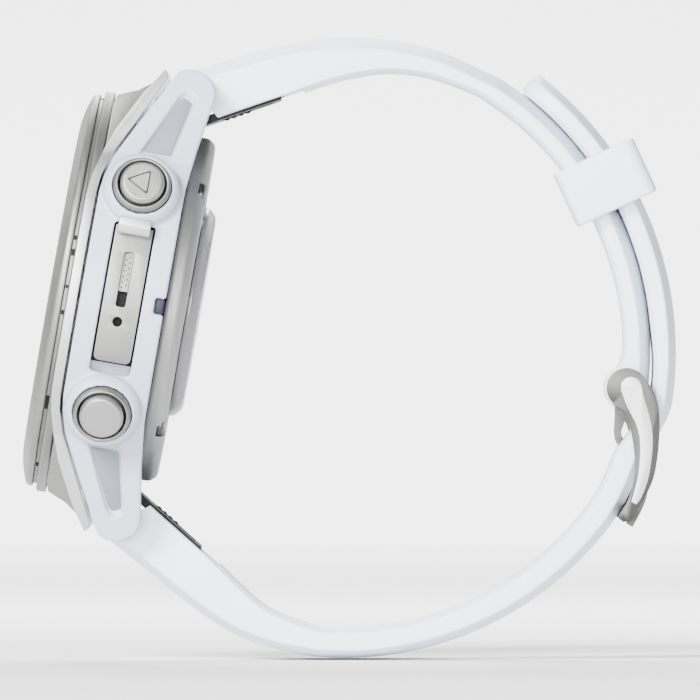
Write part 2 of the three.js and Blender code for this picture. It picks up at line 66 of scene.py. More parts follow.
# Band, seen from the two-button side.
UPPER_CENTRE = (-2.7, 33.0)
LOWER_CENTRE = (-0.8, 36.0)
BAR = (29.6, 29.1)
BAR_R = 0.75
LOOP_R = 2.35
UPPER_PIN = (-17.42, 60.256)
LOWER_PIN = (-25.269, 15.742)
UPPER_ANGLE = 18.9 * DEG
LOWER_ANGLE = -41.7 * DEG
TAIL_TIP = 53.3 * DEG
HOLE_PITCH = 9.3 * DEG
TONGUE_HOLE = -18.6 * DEG


# ---------------------------------------------------------------- outlines

def polar(centre, radius, angle):
    return (centre[0] + radius * math.cos(angle), centre[1] + radius * math.sin(angle))


def arc(centre, radius, start, end, steps):
    return [polar(centre, radius, start + (end - start) * i / steps) for i in range(steps + 1)]


def smoothstep(low, high, value):
    share = min(1.0, max(0.0, (value - low) / (high - low)))
    return share * share * (3 - 2 * share)


def filleted(corners, steps=5):
    """Rounds each corner (a, b, radius) of a closed outline."""
    outline = []
    for i, corner in enumerate(corners):
        radius = corner[2] if len(corner) > 2 else 0
        here = Vector(corner[:2])
        before = Vector(corners[i - 1][:2]) - here
        after = Vector(corners[(i + 1) % len(corners)][:2]) - here
        if radius <= 0:
            outline.append(tuple(here))
            continue
        reach = min(radius, before.length * 0.48, after.length * 0.48)
        start = here + before.normalized() * reach
        end = here + after.normalized() * reach
        for k in range(steps + 1):
            t = k / steps
            outline.append(tuple(start * (1 - t) ** 2 + here * 2 * t * (1 - t) + end * t * t))
    return outline


def through(points, steps):
    """A Catmull-Rom curve through points of any number of coordinates."""
    result = []
    last = len(points) - 1
    for i in range(last):
        a, b, c, d = (points[max(0, i - 1)], points[i], points[i + 1], points[min(last, i + 2)])
        for k in range(steps):
            t = k / steps
            result.append(tuple(0.5 * (2 * q + (r - p) * t + (2 * p - 5 * q + 4 * r - s) * t * t
                                       + (3 * q - p - 3 * r + s) * t ** 3)
                                for p, q, r, s in zip(a, b, c, d)))
    result.append(tuple(points[-1]))
    return result


def mirrored(upper):
    return upper + [(x, -z) for x, z in reversed(upper)]


# ---------------------------------------------------------------- meshes

def new_object(name, verts, faces):
    mesh = bpy.data.meshes.new(name)
    mesh.from_pydata(verts, [], faces)
    shape = bmesh.new()
    shape.from_mesh(mesh)
    bmesh.ops.remove_doubles(shape, verts=shape.verts, dist=1e-4)
    bmesh.ops.recalc_face_normals(shape, faces=shape.faces)
    shape.to_mesh(mesh)
    shape.free()
    piece = bpy.data.objects.new(name, mesh)
    bpy.context.collection.objects.link(piece)
    return piece


def turned(name, corners, segments=180, steps=5):
    """A body of revolution about x from a closed profile of (radius, x, fillet)."""
    profile = filleted(corners, steps)
    count = len(profile)
    verts = []
    for i in range(segments):
        angle = 2 * math.pi * i / segments
        verts += [(x, r * math.cos(angle), r * math.sin(angle)) for r, x in profile]
    faces = []
    for i in range(segments):
        j = (i + 1) % segments
        for k in range(count):
            m = (k + 1) % count
            if abs(profile[k][0]) < 1e-6 and abs(profile[m][0]) < 1e-6:
                continue
            faces.append((i * count + k, i * count + m, j * count + m, j * count + k))
    return new_object(name, verts, faces)


def prism(name, outline, low, high, axis="Y"):
    """An outline carried from low to high: (x, z) across y, (y, z) along x, or (x, y) along z."""
    put = {"Y": lambda a, b, c: (a, c, b),
           "X": lambda a, b, c: (c, a, b),
           "Z": lambda a, b, c: (a, b, c)}[axis]
    count = len(outline)
    verts = [put(a, b, low) for a, b in outline] + [put(a, b, high) for a, b in outline]
    faces = [tuple(range(count)), tuple(range(count, 2 * count))]
    faces += [(i, (i + 1) % count, count + (i + 1) % count, count + i) for i in range(count)]
    return new_object(name, verts, faces)


def loft(name, rings):
    """A skin over rings of equal length, closed with a cap at both ends."""
    count = len(rings[0])
    verts = [point for ring in rings for point in ring]
    faces = [tuple(range(count)), tuple(range((len(rings) - 1) * count, len(rings) * count))]
    for i in range(len(rings) - 1):
        for k in range(count):
            m = (k + 1) % count
            faces.append((i * count + k, i * count + m, (i + 1) * count + m, (i + 1) * count + k))
    return new_object(name, verts, faces)


def rod(name, x, z, radius, low, high, edge=0.15, segments=48):
    """A pin along y with softened ends."""
    piece = turned(name, [(0, low), (radius, low, edge), (radius, high, edge), (0, high)], segments, 3)
    piece.data.transform(Matrix.Translation((x, 0, z)) @ Matrix.Rotation(90 * DEG, 4, "Z"))
    return piece


def settle(piece):
    """Applies a piece's modifiers to its mesh."""
    depsgraph = bpy.context.evaluated_depsgraph_get()
    mesh = bpy.data.meshes.new_from_object(piece.evaluated_get(depsgraph))
    piece.modifiers.clear()
    piece.data = mesh
    return piece


def combine(piece, tools, operation="DIFFERENCE"):
    for tool in tools:
        modifier = piece.modifiers.new("combine", "BOOLEAN")
        modifier.operation = operation
        modifier.solver = "EXACT"
        modifier.object = tool
    settle(piece)
    for tool in tools:
        bpy.data.objects.remove(tool)
    return piece


def bevelled(piece, width, segments=3, angle=30):
    modifier = piece.modifiers.new("edge", "BEVEL")
    modifier.width = width
    modifier.segments = segments
    modifier.limit_method = "ANGLE"
    modifier.angle_limit = angle * DEG
    modifier.harden_normals = False
    return settle(piece)


def moulded(piece, voxel, passes, factor=0.5):
    """Re-skins a joined body evenly and softens its edges, as a moulding has them."""
    remesh = piece.modifiers.new("skin", "REMESH")
    remesh.mode = "VOXEL"
    remesh.voxel_size = voxel
    smooth = piece.modifiers.new("soften", "SMOOTH")
    smooth.factor = factor
    smooth.iterations = passes
    return settle(piece)


def hand_over(piece, place, body, material, nodes=(), sharp=35):
    """Puts a finished piece in the watch, in metres, on its body and in its material slot."""
    piece.data.transform(Matrix.Scale(MM, 4) @ place)
    piece.data.materials.clear()
    piece.data.materials.append(material)
    piece.data.shade_smooth()
    piece.data.set_sharp_from_angle(angle=sharp * DEG)
    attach(piece, body)
    if nodes:
        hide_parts(*nodes)
    return piece


# ---------------------------------------------------------------- materials

def shader(name, color, roughness, metallic=0.0, coat=0.0):
    material = bpy.data.materials.new(name)
    material.use_nodes = True
    tree = material.node_tree
    surface = tree.nodes["Principled BSDF"]
    surface.inputs["Base Color"].default_value = (*color, 1)
    surface.inputs["Roughness"].default_value = roughness
    surface.inputs["Metallic"].default_value = metallic
    surface.inputs["Coat Weight"].default_value = coat
    return material, tree, surface


def place_texture(tree, stretch, lean=0.0):
    """Object coordinates, turned with the case where a finish follows it, and stretched."""
    coordinates = tree.nodes.new("ShaderNodeTexCoord")
    mapping = tree.nodes.new("ShaderNodeMapping")
    mapping.inputs["Rotation"].default_value = (0, lean, 0)
    mapping.inputs["Scale"].default_value = stretch
    tree.links.new(coordinates.outputs["Object"], mapping.inputs["Vector"])
    return mapping.outputs["Vector"]


def noise(tree, vector, scale, detail=4.0):
    texture = tree.nodes.new("ShaderNodeTexNoise")
    texture.inputs["Scale"].default_value = scale
    texture.inputs["Detail"].default_value = detail
    tree.links.new(vector, texture.inputs["Vector"])
    return texture.outputs["Fac"]


def graded(tree, factor, low, high):
    """A colour or grey that runs from low to high with factor."""
    ramp = tree.nodes.new("ShaderNodeValToRGB")
    ramp.color_ramp.elements[0].position = 0.3
    ramp.color_ramp.elements[1].position = 0.7
    ramp.color_ramp.elements[0].color = (*low, 1) if isinstance(low, tuple) else (low, low, low, 1)
    ramp.color_ramp.elements[1].color = (*high, 1) if isinstance(high, tuple) else (high, high, high, 1)
    tree.links.new(factor, ramp.inputs["Fac"])
    return ramp.outputs["Color"]


def raised(tree, surface, height, distance, strength=1.0):
    bump = tree.nodes.new("ShaderNodeBump")
    bump.inputs["Distance"].default_value = distance
    bump.inputs["Strength"].default_value = strength
    tree.links.new(height, bump.inputs["Height"])
    tree.links.new(bump.outputs["Normal"], surface.inputs["Normal"])


def soft_plastic(name, dark, light, roughness, grain, depth):
    """Moulded plastic or silicone: slow colour drift, fine grain and uneven gloss."""
    material, tree, surface = shader(name, light, roughness)
    vector = place_texture(tree, (1, 1, 1))
    drift = noise(tree, vector, 60, 3)
    tree.links.new(graded(tree, drift, dark, light), surface.inputs["Base Color"])
    speckle = noise(tree, vector, grain, 6)
    tree.links.new(graded(tree, speckle, roughness - 0.06, roughness + 0.08), surface.inputs["Roughness"])
    raised(tree, surface, speckle, depth)
    surface.inputs["Specular IOR Level"].default_value = 0.15 if max(dark) < 0.06 else 0.5
    return material


def brushed(name, dark, light, roughness, stretch, depth=0.000004):
    """Metal with fine brush lines along the direction that stretch leaves long."""
    material, tree, surface = shader(name, light, roughness, 0.85)
    vector = place_texture(tree, stretch, -10 * DEG)
    lines = noise(tree, vector, 900, 5)
    cloud = noise(tree, place_texture(tree, (1, 1, 1)), 90, 3)
    tree.links.new(graded(tree, cloud, dark, light), surface.inputs["Base Color"])
    tree.links.new(graded(tree, lines, roughness - 0.07, roughness + 0.1), surface.inputs["Roughness"])
    raised(tree, surface, lines, depth)
    return material


silicone = soft_plastic("strap_silicone", (0.74, 0.77, 0.86), (0.80, 0.83, 0.92), 0.50, 2600, 0.000012)
guard_polymer = soft_plastic("guard_polymer", (0.42, 0.435, 0.55), (0.48, 0.495, 0.61), 0.42, 3200, 0.000010)
# The guard's polymer darkened for the sunk panels: painted shade in the recesses.
panel_painted_shade = soft_plastic("panel_painted_shade", (0.13, 0.14, 0.175), (0.17, 0.18, 0.22), 0.50, 3600, 0.000012)
case_polymer = soft_plastic("case_polymer", (0.46, 0.47, 0.55), (0.52, 0.53, 0.61), 0.45, 3200, 0.000010)
black_polymer = soft_plastic("black_polymer", (0.004, 0.004, 0.005), (0.008, 0.008, 0.010), 0.55, 3000,
                             0.000015)
# Black rubber for the seals, also the black disc that paints shade in each button's gap.
seal_rubber = soft_plastic("seal_rubber", (0.004, 0.004, 0.005), (0.008, 0.008, 0.010), 0.65, 2200, 0.000020)
vent_blue = soft_plastic("vent_blue", (0.014, 0.016, 0.030), (0.022, 0.025, 0.044), 0.50, 3000, 0.000012)
bezel_steel = brushed("bezel_steel", (0.21, 0.21, 0.204), (0.255, 0.255, 0.249), 0.48, (1.0, 0.04, 0.04))
case_steel = brushed("case_steel", (0.20, 0.20, 0.194), (0.245, 0.245, 0.238), 0.52, (1.0, 0.04, 0.04))
button_steel = brushed("button_steel", (0.31, 0.31, 0.305), (0.36, 0.36, 0.355), 0.45, (1.0, 1.0, 0.3),
                       0.000002)
# Steel darkened nearly to black: painted shade of the buckle frame's chamfered rim.
buckle_steel = brushed("buckle_steel", (0.035, 0.035, 0.034), (0.052, 0.052, 0.050), 0.28, (0.3, 1.0, 0.05))
# A lighter copy of the satin steel, a painted highlight: the lug frame strips, the speaker tab and the
# buckle's outer faces wear it.
painted_highlight_steel = brushed("painted_highlight_steel", (0.50, 0.50, 0.495), (0.56, 0.56, 0.555), 0.50, (0.3, 1.0, 0.05))
dark_steel = brushed("dark_steel", (0.06, 0.06, 0.058), (0.085, 0.085, 0.083), 0.40, (1.0, 0.1, 1.0))
weight_brass = brushed("weight_brass", (0.36, 0.30, 0.19), (0.46, 0.38, 0.24), 0.40, (1.0, 0.1, 1.0))


def spun(name, dark, light, roughness):
    """Metal turned on a lathe: fine rings about the case axis."""
    material, tree, surface = shader(name, light, roughness, 0.85)
    coordinates = place_texture(tree, (1, 1, 1), -10 * DEG)
    rings = noise(tree, place_texture(tree, (60, 1, 1), -10 * DEG), 60, 6)
    cloud = noise(tree, coordinates, 90, 3)
    tree.links.new(graded(tree, cloud, dark, light), surface.inputs["Base Color"])
    tree.links.new(graded(tree, rings, roughness - 0.06, roughness + 0.09), surface.inputs["Roughness"])
    raised(tree, surface, rings, 0.000003)
    return material


def lens_material():
    material, tree, surface = shader("lens_glass", (0.012, 0.013, 0.016), 0.06, 0.0, 0.6)
    smudge = noise(tree, place_texture(tree, (1, 1, 1)), 140, 3)
    tree.links.new(graded(tree, smudge, 0.04, 0.10), surface.inputs["Roughness"])
    surface.inputs["Alpha"].default_value = 0.30
    return material


def dial_material(name, low, high, glow):
    material, tree, surface = shader(name, high, 0.35)
    grain = noise(tree, place_texture(tree, (1, 1, 1)), 2400, 4)
    color = graded(tree, grain, low, high)
    tree.links.new(color, surface.inputs["Base Color"])
    tree.links.new(color, surface.inputs["Emission Color"])
    surface.inputs["Emission Strength"].default_value = glow
    return material


bezel_spun = spun("bezel_spun", (0.21, 0.21, 0.204), (0.25, 0.25, 0.244), 0.48)
cover_spun = spun("cover_spun", (0.32, 0.32, 0.31), (0.37, 0.37, 0.36), 0.56)
lens_glass = lens_material()
sensor_glass = soft_plastic("sensor_glass", (0.20, 0.20, 0.205), (0.24, 0.24, 0.245), 0.22, 1800, 0.000002)
led_dark = soft_plastic("led_dark", (0.008, 0.009, 0.012), (0.016, 0.018, 0.022), 0.12, 1800, 0.000002)
led_green = dial_material("led_green", (0.06, 0.22, 0.10), (0.10, 0.32, 0.15), 0.0)
dial_black = dial_material("dial_black", (0.004, 0.005, 0.007), (0.010, 0.012, 0.016), 0.0)
dial_light = dial_material("dial_light", (0.72, 0.78, 0.84), (0.86, 0.90, 0.94), 0.55)
dial_blue = dial_material("dial_blue", (0.10, 0.34, 0.62), (0.16, 0.46, 0.78), 0.45)
board_green = soft_plastic("board_green", (0.018, 0.085, 0.045), (0.030, 0.120, 0.065), 0.45, 900, 0.00003)
cell_foil = brushed("cell_foil", (0.42, 0.43, 0.45), (0.52, 0.53, 0.55), 0.42, (1.0, 1.0, 1.0), 0.00002)


# ---------------------------------------------------------------- case

def button_place(side, height):
    seat = MIDDLE_SEAT if height == 0 else SIDE_SEAT
    tilt = math.copysign(BUTTON_TILT, height) if height else 0
    lean = Matrix.Rotation(side * (90 * DEG - tilt), 4, "X")
    return Matrix.Translation((BUTTON_X, -side * seat, height)) @ lean


def turned_out(name, corners, segments=96, steps=5):
    """A body of revolution about a button's own axis, z out of the case."""
    piece = turned(name, corners, segments, steps)
    piece.data.transform(Matrix.Rotation(-90 * DEG, 4, "Y"))
    return piece


def box(name, low, high):
    outline = [(low[0], low[2]), (high[0], low[2]), (high[0], high[2]), (low[0], high[2])]
    return prism(name, outline, low[1], high[1])


def make_dial_end():
    bezel = turned("bezel", [(16.7, -5.9, 0.1), (16.9, -6.25, 0.12), (18.2, -6.25, 0.3), (19.7, -5.98, 0.7),
                             (21.3, -5.4, 0.5), (21.5, -4.9, 0.4), (21.42, -4.65, 0.1), (16.9, -4.65)], 256,
                             7)
    hand_over(bezel, CASE_PLACE, "case", bezel_spun, ["bezel_ring"], 50)
    liner = turned("groove_liner", [(20.2, -4.6), (21.12, -4.6, 0.03), (21.12, -4.22, 0.03), (20.2, -4.22)],
                   256, 3)
    hand_over(liner, CASE_PLACE, "case", case_steel)
    # Small black blocks set in the groove between bezel and case band, mirrored on both flanks.
    marks = [(21.0, 0.5), (4.1, 0.75), (5.7, 0.5), (0.4, 0.35), (-2.4, 0.5), (-12.2, 1.7), (-19.0, 0.7)]
    blocks = []
    for side in (-1, 1):
        for z, length in marks:
            angle = math.asin(min(1, z / 21.15))
            block = box("mark", (-4.56, 20.85, -length / 2), (-4.25, 21.2, length / 2))
            turn = Matrix.Rotation(angle, 4, "X")
            mirror = Matrix.Scale(side, 4, (0, 1, 0))
            block.data.transform(mirror @ turn)
            blocks.append(block)
    dark_blocks = joined("groove_dark_blocks", blocks)
    hand_over(dark_blocks, CASE_PLACE, "case", seal_rubber)
    ring = turned("case_band", [(18.6, -4.2, 0.1), (21.75, -4.2, 0.15), (21.9, -4.0, 0.15),
                                (21.9, -3.25, 0.12),
                                (21.8, -3.15, 0.08), (18.6, -3.15, 0.1)], 256, 4)
    hand_over(ring, CASE_PLACE, "case", case_steel, ["case_ring"])
    lens = turned("lens", [(0, -6.12), (LENS_R, -6.12, 0.3), (LENS_R, -5.1, 0.1), (0, -5.1)], 192, 6)
    hand_over(lens, CASE_PLACE, "case", lens_glass, ["display_lens"])


def joined(name, parts):
    """Several loose bodies as one piece."""
    mesh = bmesh.new()
    for part in parts:
        mesh.from_mesh(part.data)
        bpy.data.objects.remove(part)
    bmesh.ops.recalc_face_normals(mesh, faces=mesh.faces)
    data = bpy.data.meshes.new(name)
    mesh.to_mesh(data)
    mesh.free()
    piece = bpy.data.objects.new(name, data)
    bpy.context.collection.objects.link(piece)
    return piece


def dial_bar(length, width, radius, angle, front=-4.42, back=-4.32):
    """A flat mark on the dial, its outer end at radius, at a clockwise angle from 12."""
    bar = box("bar", (front, -width / 2, radius - length), (back, width / 2, radius))
    bar.data.transform(Matrix.Rotation(-angle, 4, "X"))
    return bar


def make_dial():
    face = turned("dial_face", [(0, -4.3), (15.8, -4.3, 0.05), (15.8, -3.4, 0.05), (0, -3.4)], 160, 3)
    hand_over(face, CASE_PLACE, "case", dial_black, ["display_panel"])
    minutes = [dial_bar(0.7, 0.14, 15.3, i * 6 * DEG) for i in range(60) if i % 5]
    hours = [dial_bar(2.0, 0.5, 15.3, i * 30 * DEG) for i in range(12)]
    hands = [dial_bar(8.6, 0.9, 7.6, 304 * DEG, -4.52, -4.44),
             dial_bar(13.4, 0.65, 12.0, 54 * DEG, -4.62, -4.54)]
    hub = turned("hub", [(0, -4.75), (0.9, -4.75, 0.1), (0.9, -4.42), (0, -4.42)], 48, 3)
    hand_over(joined("dial_marks", minutes + hours + hands + [hub]), CASE_PLACE, "case",
              dial_light)
    rings = []
    for y, z, radius in ((0, -7.6, 3.4), (-7.4, 0, 2.9), (7.4, 0, 2.9)):
        ring = turned("ring", [(radius - 0.28, -4.42), (radius, -4.42), (radius, -4.34),
                               (radius - 0.28, -4.34)], 96, 1)
        ring.data.transform(Matrix.Translation((0, y, z)))
        rings.append(ring)
    second = dial_bar(15.2, 0.22, 13.2, 205 * DEG, -4.72, -4.66)
    hand_over(joined("dial_rings", rings + [second]), CASE_PLACE, "case", dial_blue)


def front_band(outer, inner, tip_outer, tip_inner, height, steps=40):
    """Front view of a guard or lug frame: round beside the case, straight to the lug ends."""
    bend = 42 * DEG
    foot = inner * math.sin(62 * DEG)
    outer_arc = arc((0, 0), outer, -bend, bend, steps)
    inner_arc = arc((0, 0), inner, bend, -bend, steps)
    return ([(tip_outer, -height)] + outer_arc + [(tip_outer, height), (tip_inner, height), (tip_inner, foot)]
            + inner_arc + [(tip_inner, -foot), (tip_inner, -height)])


def on_side(outline, side):
    return [(-side * y, z) for y, z in outline]


GUARD_UPPER = ([(6.27, 12.7), (6.7, 17.0), (7.24, 20.6)] + arc((4.9, 22.95), 2.75, 0, 125 * DEG, 24)
               + [(0, 18.96), (-1.94, 15.1), (-2.6, 12.7), (-2.8, 11.1)])
WING = [(-0.8, 18.8), (0.9, 23.6), (-0.6, 22.5), (-2.7, 21.6), (-3.0, 20.6), (-3.0, 13.6)]
FRAME_UPPER = [(2.25, 24.65), (1.9, 25.25), (0, 22.4), (-2.2, 18.1), (-3.1, 15.6), (-3.8, 13.0), (-4.1, 10.5)]
FRAME_INSIDE = [(30, 24.65), (2.45, 24.65), (-0.3, 18.96), (-2.24, 15.1), (-2.9, 12.7), (-3.1, 11.1)]
PANEL = [(0.95, 16.0, 0.2), (3.95, 22.2, 0.3), (4.45, 22.65, 0.3), (5.45, 22.15, 0.3), (4.05, 16.0, 0.2)]


def grown(outline, amount):
    centre = [sum(p[i] for p in outline) / len(outline) for i in range(2)]
    result = []
    for a, b in outline:
        away = Vector((a - centre[0], b - centre[1]))
        result.append(tuple(Vector((a, b)) + away.normalized() * amount))
    return result


def panel_cutter(side, up):
    """A tapered well from the guard's outer face down to the panel floor."""
    floor = [(x, up * z) for x, z in filleted(PANEL, 4)]
    rim = grown(floor, 0.75)
    mouth = grown(floor, 2.4)
    def skin(z, sink):
        y_round = math.sqrt(max(1.0, (GUARD_R - sink) ** 2 - z * z))
        knee_y = (GUARD_R - sink) * math.cos(42 * DEG)
        knee_z = (GUARD_R - sink) * math.sin(42 * DEG)
        slope = (LUG_OUTER_Y - sink - knee_y) / (LUG_HEIGHT - knee_z)
        y_flat = knee_y + slope * (abs(z) - knee_z)
        return y_round if abs(z) < knee_z else y_flat
    rings = [[(x, -side * skin(z, 0.62), z) for x, z in floor],
             [(x, -side * skin(z, 0.0), z) for x, z in rim],
             [(x, -side * (skin(z, 0.0) + 1.8), z) for x, z in mouth]]
    return loft("panel_cutter", rings)


def panel_shade_sheet(side, up):
    """A darker grey sheet laid in the well: painted shade of the recess floor."""
    floor = grown([(x, up * z) for x, z in filleted(PANEL, 4)], -0.12)
    knee_z = GUARD_R * math.sin(42 * DEG)
    def skin(z, sink):
        knee_y = (GUARD_R - sink) * math.cos(42 * DEG)
        slope = (LUG_OUTER_Y - sink - knee_y) / (LUG_HEIGHT - knee_z)
        return knee_y + slope * (abs(z) - knee_z)
    rings = [[(x, -side * skin(z, sink), z) for x, z in floor] for sink in (0.50, 0.95)]
    return bevelled(loft("panel_shade_sheet", rings), 0.06, 2)


def make_guard(side):
    word = "right" if side > 0 else "left"
    low, high = (-24, -10) if side > 0 else (10, 24)
    guard = prism("guard_shape", mirrored(GUARD_UPPER), low, high)
    combine(guard, [prism("band", on_side(front_band(GUARD_R, GUARD_INNER_R, LUG_OUTER_Y, LUG_INNER_Y,
                                                     LUG_HEIGHT),
                                          side), -6, 9, "X")], "INTERSECT")
    bevelled(guard, 0.65, 2, 40)
    mine = [height for button_side, height in BUTTONS.values() if button_side == side]
    bosses = []
    seats = []
    for height in mine:
        foot = -0.15 if height == 0 else -1.2
        boss = turned_out("boss", [(0, foot), (BOSS_R, foot), (BOSS_R, 0.3, 0.3), (BOSS_R - 0.65, 1.15, 0.5),
                                   (0, 1.15)])
        boss.data.transform(button_place(side, height))
        bosses.append(boss)
        seat = turned_out("seat", [(0, -4), (COLLAR_R + 0.12, -4), (COLLAR_R + 0.12, 3), (0, 3)])
        seat.data.transform(button_place(side, height))
        seats.append(seat)
    combine(guard, bosses, "UNION")
    cutters = seats + [panel_cutter(side, up) for up in (1, -1)]
    cutters += [rod("pin_bore", PIN_X, up * PIN_Z, 1.0, -12.3, 12.3, 0) for up in (1, -1)]
    if side > 0:
        cutters.append(box("vent_notch", (5.15, -26, -0.9), (9, -20, 0.9)))
        cutters.append(prism("pocket", filleted([(-0.55, -8.0, 0.5), (3.9, -8.0, 0.5), (3.9, 8.2),
                                                 (-0.55, 8.2)]), -26, -10))
    combine(guard, cutters)
    moulded(guard, 0.15, 3)
    hand_over(guard, CASE_PLACE, "case", guard_polymer, [f"{word}_guard"], 70)
    for up, end in ((1, "upper"), (-1, "lower")):
        floor = panel_shade_sheet(side, up)
        floor.name = f"{word}_{end}_panel"
        hand_over(floor, CASE_PLACE, "case", panel_painted_shade)


def make_lug_frame(side):
    """A raised strip along the guard in a lighter steel, a painted highlight, and, in front of it, a lower
    satin wing.
    """
    word = "right" if side > 0 else "left"
    low, high = (-24, -9) if side > 0 else (9, 24)
    strip = prism("lug_frame_shape", mirrored(FRAME_UPPER), low, high)
    inside = prism("inside", mirrored(FRAME_INSIDE), low - 1, high + 1)
    combine(strip, [inside])
    band = on_side(front_band(23.1, 22.2, LUG_OUTER_Y + 0.2, LUG_OUTER_Y - 1.6, LUG_HEIGHT), side)
    combine(strip, [prism("band", band, -6, 9, "X")], "INTERSECT")
    bevelled(strip, 0.22, 3, 35)
    strip.name = f"{word}_side_strip"
    hand_over(strip, CASE_PLACE, "case", painted_highlight_steel, [f"{word}_lug_frame"], 40)
    for up in (1, -1):
        wing = prism("wing", [(x, up * z) for x, z in WING], low, high)
        lower_band = on_side(front_band(22.8, 22.2, LUG_OUTER_Y - 0.1, LUG_OUTER_Y - 1.6, LUG_HEIGHT), side)
        combine(wing, [prism("lower_band", lower_band, -6, 9, "X")], "INTERSECT")
        bevelled(wing, 0.08, 2, 35)
        wing.name = f"{word}_{'upper' if up > 0 else 'lower'}_wing"
        hand_over(wing, CASE_PLACE, "case", case_steel, [], 40)


def make_body():
    drum = turned("case_drum", [(17.5, -2.7), (20.9, -2.7, 0.2), (20.9, 6.0, 0.2), (16.2, 6.0), (16.2, 4.2),
                                (17.5, 3.4)],
                  192, 3)
    horns = []
    for up in (1, -1):
        horn = turned("horn", [(18.2, -2.7), (21.7, -2.7), (22.6, 0, 0.4), (22.3, 1.4, 0.3), (18.2, 2.0)],
                      192, 4)
        side = box("horn_side", (-3, -8.5, 18.5 if up > 0 else -23.4), (3, 8.5, 23.4 if up > 0 else -18.5))
        horns.append(combine(horn, [side], "INTERSECT"))
    combine(drum, horns, "UNION")
    cutters = [rod("scoop", PIN_X, up * PIN_Z, 2.5, -9.6, 9.6, 0) for up in (1, -1)]
    for side, height in BUTTONS.values():
        bore = turned_out("stem_bore", [(0, -9), (1.05, -9), (1.05, 2), (0, 2)], 32, 1)
        bore.data.transform(button_place(side, height))
        cutters.append(bore)
    combine(drum, cutters)
    bevelled(drum, 0.1, 2, 40)
    hand_over(drum, CASE_PLACE, "case", case_polymer, ["case_body"], 40)
    for word, up in (("upper", 1), ("lower", -1)):
        pin = rod(f"{word}_pin", PIN_X, up * PIN_Z, 0.9, -12.2, 12.2)
        hand_over(pin, CASE_PLACE, "case", dark_steel, [f"{word}_lug_pin"])


def curved_slab(name, outline, inner, outer, side):
    """An outline on the case's flank, between two radii about the case axis."""
    slab = prism(name, outline, -26 if side > 0 else 15, -15 if side > 0 else 26)
    shell = turned("shell", [(inner, -6), (outer, -6), (outer, 9), (inner, 9)], 360, 1)
    return combine(slab, [shell], "INTERSECT")


def make_speaker():
    outline = filleted([(-0.32, -6.75, 0.7), (3.67, -6.75, 0.7), (3.67, 7.9), (-0.32, 7.9)])
    bar = curved_slab("speaker_plate", outline, 21.35, 22.95, 1)
    slot = prism("slot", filleted([(1.05, -0.8, 0.35), (2.15, -0.8, 0.35), (2.15, 5.2, 0.45),
                                   (1.05, 5.2, 0.45)]), -26, -18)
    hole = rod("hole", 1.57, -2.4, 0.54, -26, -18, 0)
    combine(bar, [slot, hole])
    bevelled(bar, 0.10, 3, 40)
    hand_over(bar, CASE_PLACE, "case", case_steel, ["speaker_bar"], 40)
    insert = curved_slab("speaker_insert", filleted([(1.12, 0.9, 0.1), (2.08, 0.9, 0.1), (2.08, 5.12, 0.4),
                                                     (1.12, 5.12, 0.4)]),
                         21.5, 22.55, 1)
    pores = [rod("pore", 1.38 + 0.44 * (i % 2), 1.3 + 0.3 * i, 0.09, -26, -18, 0, 12) for i in range(12)]
    combine(insert, pores)
    hand_over(insert, CASE_PLACE, "case", case_steel, ["speaker_mesh"], 40)
    backing = curved_slab("speaker_backing", [(-0.55, -6.9), (3.9, -6.9), (3.9, 8.15), (-0.55, 8.15)], 21.1,
                          21.32, 1)
    hand_over(backing, CASE_PLACE, "case", black_polymer)
    # A small steel tab at the bar's top end, in the lighter steel: a painted highlight where it slopes out to
    # the boss.
    slant = [(-21.9, 7.0), (-22.85, 7.1), (-23.15, 8.0), (-22.9, 8.85), (-22.0, 8.85)]
    tab = prism("speaker_tab", slant, -0.1, 3.35, "X")
    bevelled(tab, 0.14, 3, 30)
    hand_over(tab, CASE_PLACE, "case", painted_highlight_steel, [], 40)
    plug = box("vent_block", (5.25, -22.45, -0.8), (6.2, -21.4, 0.8))
    bevelled(plug, 0.15, 3)
    hand_over(plug, CASE_PLACE, "case", vent_blue, ["vent_plug"])


def make_buttons():
    for name, (side, height) in BUTTONS.items():
        place = CASE_PLACE @ button_place(side, height)
        stem = -3.6 if height == 0 else -7.0
        foot = -0.3 if height == 0 else -1.6
        cap = turned_out(f"{name}_button_cap",
                         [(0, stem), (0.75, stem, 0.1), (0.75, 0.95), (CAP_R - 0.12, 0.95, 0.1),
                                                (CAP_R - 0.12, 1.95, 0.15), (CAP_R - 0.42, 2.35, 0.12),
                                                (0, 2.33)], 128)
        if name == "start":
            corners = [polar((-0.1, 0), 1.68, angle * DEG) for angle in (180, 60, -60)]
            groove = prism("groove", filleted([(a, b, 0.35) for a, b in corners]), 2.20, 3, "Z")
            island = [(a * 0.80 - 0.02, b * 0.80, 0.3) for a, b in corners]
            combine(groove, [prism("island", filleted(island), 2, 4, "Z")])
            combine(cap, [groove])
            inlay = prism("start_mark", filleted([(a, b, 0.35) for a, b in corners]), 2.12, 2.24, "Z")
            combine(inlay, [prism("island", filleted(island), 2, 4, "Z")])
            hand_over(inlay, place, "start_button", dark_steel)
        hand_over(cap, place, f"{name}_button", button_steel, [f"{name}_cap"], 30)
        collar = turned_out(f"{name}_ring", [(CAP_R + 0.1, foot), (COLLAR_R, foot, 0.1),
                                             (COLLAR_R, 1.45, 0.25),
                                             (COLLAR_R - 0.28, 1.8, 0.12), (CAP_R + 0.14, 1.72, 0.08)], 128)
        hand_over(collar, place, "case", bezel_steel, [f"{name}_collar"], 30)
        # A black disc at the bottom of the gap between cap and collar: painted shade in the gap.
        shade = turned_out(f"{name}_gap", [(0.9, 0.05), (CAP_R + 0.06, 0.05), (CAP_R + 0.06, 0.3),
                                           (0.9, 0.3)], 64, 1)
        hand_over(shade, place, "case", seal_rubber)


